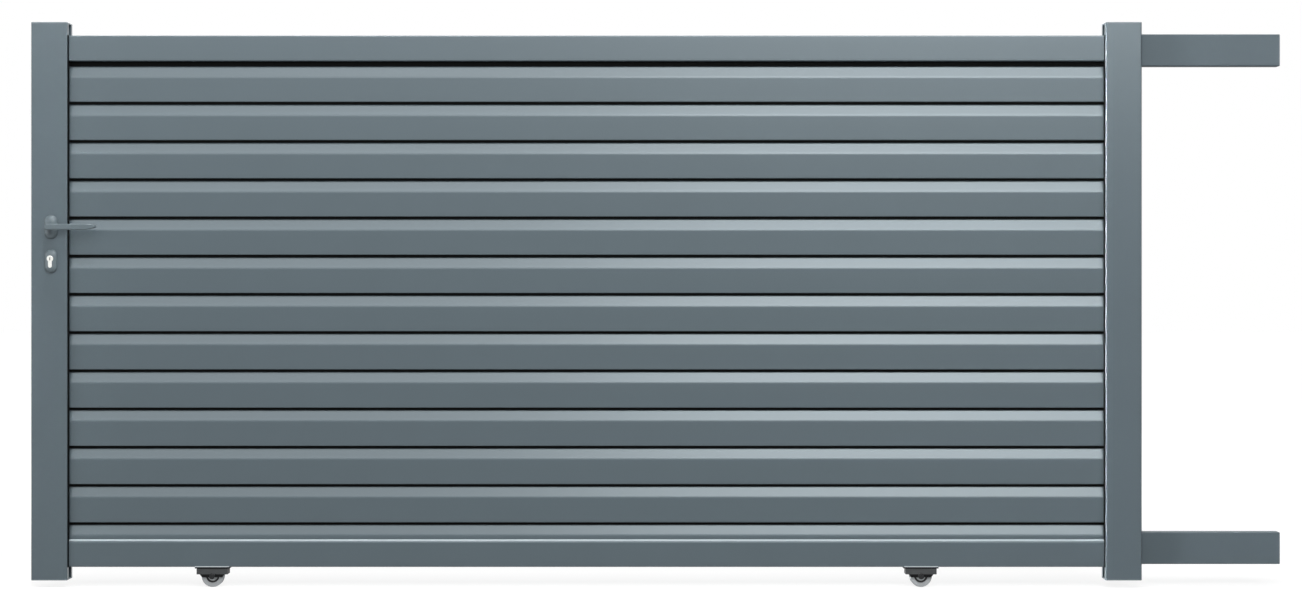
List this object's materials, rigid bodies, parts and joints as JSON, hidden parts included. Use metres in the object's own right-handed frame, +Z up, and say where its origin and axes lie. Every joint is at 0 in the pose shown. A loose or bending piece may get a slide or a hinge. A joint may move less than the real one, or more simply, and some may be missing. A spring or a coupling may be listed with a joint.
{
  "type": "sliding gate leaf",
  "caption": "Sliding driveway gate leaf in grey powder coated aluminium: bevelled horizontal slats between stiles, with a lever lock, grooved wheels below and guide tails behind.",
  "frame": {"origin": "on the closing face of the lock stile, at mid depth, at the lower end of its tube", "axes": "+X along the leaf from the closing face to the guide tails, +Y from the front to the back, +Z up"},
  "size_m": [3.375, 0.144, 1.528],
  "materials": {
    "leaf_coat": "aluminium extrusion with a satin blue grey powder coat",
    "cap_plastic": "moulded plastic in the colour of the coat",
    "handle_coat": "zinc casting with a satin blue grey coat",
    "cylinder_nickel": "nickel plated brass",
    "plain_steel": "zinc plated steel",
    "wheel_zinc": "turned steel, zinc plated",
    "bracket_coat": "pressed steel with a black coat"
  },
  "bodies": {
    "leaf": {"back_cylinder_rose": "handle_coat", "back_lever_rose": "handle_coat", "bottom_guide_tail": "leaf_coat", "bottom_rail": "leaf_coat", "bottom_tail_cap": "cap_plastic", "front_cylinder_rose": "handle_coat", "front_lever_rose": "handle_coat", "front_wheel_axle": "plain_steel", "front_wheel_bracket": "bracket_coat", "hook_bolt": "plain_steel", "lock_case": "plain_steel", "lock_cylinder": "cylinder_nickel", "lock_forend": "plain_steel", "lock_stile": "leaf_coat", "lock_stile_bottom_cap": "cap_plastic", "lock_stile_top_cap": "cap_plastic", "rear_wheel_axle": "plain_steel", "rear_wheel_bracket": "bracket_coat", "slat_01": "leaf_coat", "slat_02": "leaf_coat", "slat_03": "leaf_coat", "slat_04": "leaf_coat", "slat_05": "leaf_coat", "slat_06": "leaf_coat", "slat_07": "leaf_coat", "slat_08": "leaf_coat", "slat_09": "leaf_coat", "slat_10": "leaf_coat", "slat_11": "leaf_coat", "slat_12": "leaf_coat", "slat_13": "leaf_coat", "tail_stile": "leaf_coat", "tail_stile_bottom_cap": "cap_plastic", "tail_stile_top_cap": "cap_plastic", "top_guide_tail": "leaf_coat", "top_rail": "leaf_coat", "top_tail_cap": "cap_plastic"},
    "lever_set": {"front_lever": "handle_coat", "back_lever": "handle_coat", "lever_spindle": "plain_steel"},
    "front_wheel_set": {"front_wheel": "wheel_zinc", "front_wheel_bearing": "plain_steel"},
    "rear_wheel_set": {"rear_wheel": "wheel_zinc", "rear_wheel_bearing": "plain_steel"}
  },
  "joints": [
    {"name": "lever_turn", "type": "hinge", "parent": "leaf", "child": "lever_set", "pos_m": [0.054, 0, 0.95], "axis": [0, 1, 0], "range_deg": [0, 40], "stiffness_Nm_per_rad": 1.2, "springref_deg": -34.38},
    {"name": "front_wheel_spin", "type": "hinge", "parent": "leaf", "child": "front_wheel_set", "pos_m": [0.487, 0, 0.006], "axis": [0, 1, 0], "continuous": true},
    {"name": "rear_wheel_spin", "type": "hinge", "parent": "leaf", "child": "rear_wheel_set", "pos_m": [2.405, 0, 0.006], "axis": [0, 1, 0], "continuous": true}
  ]
}
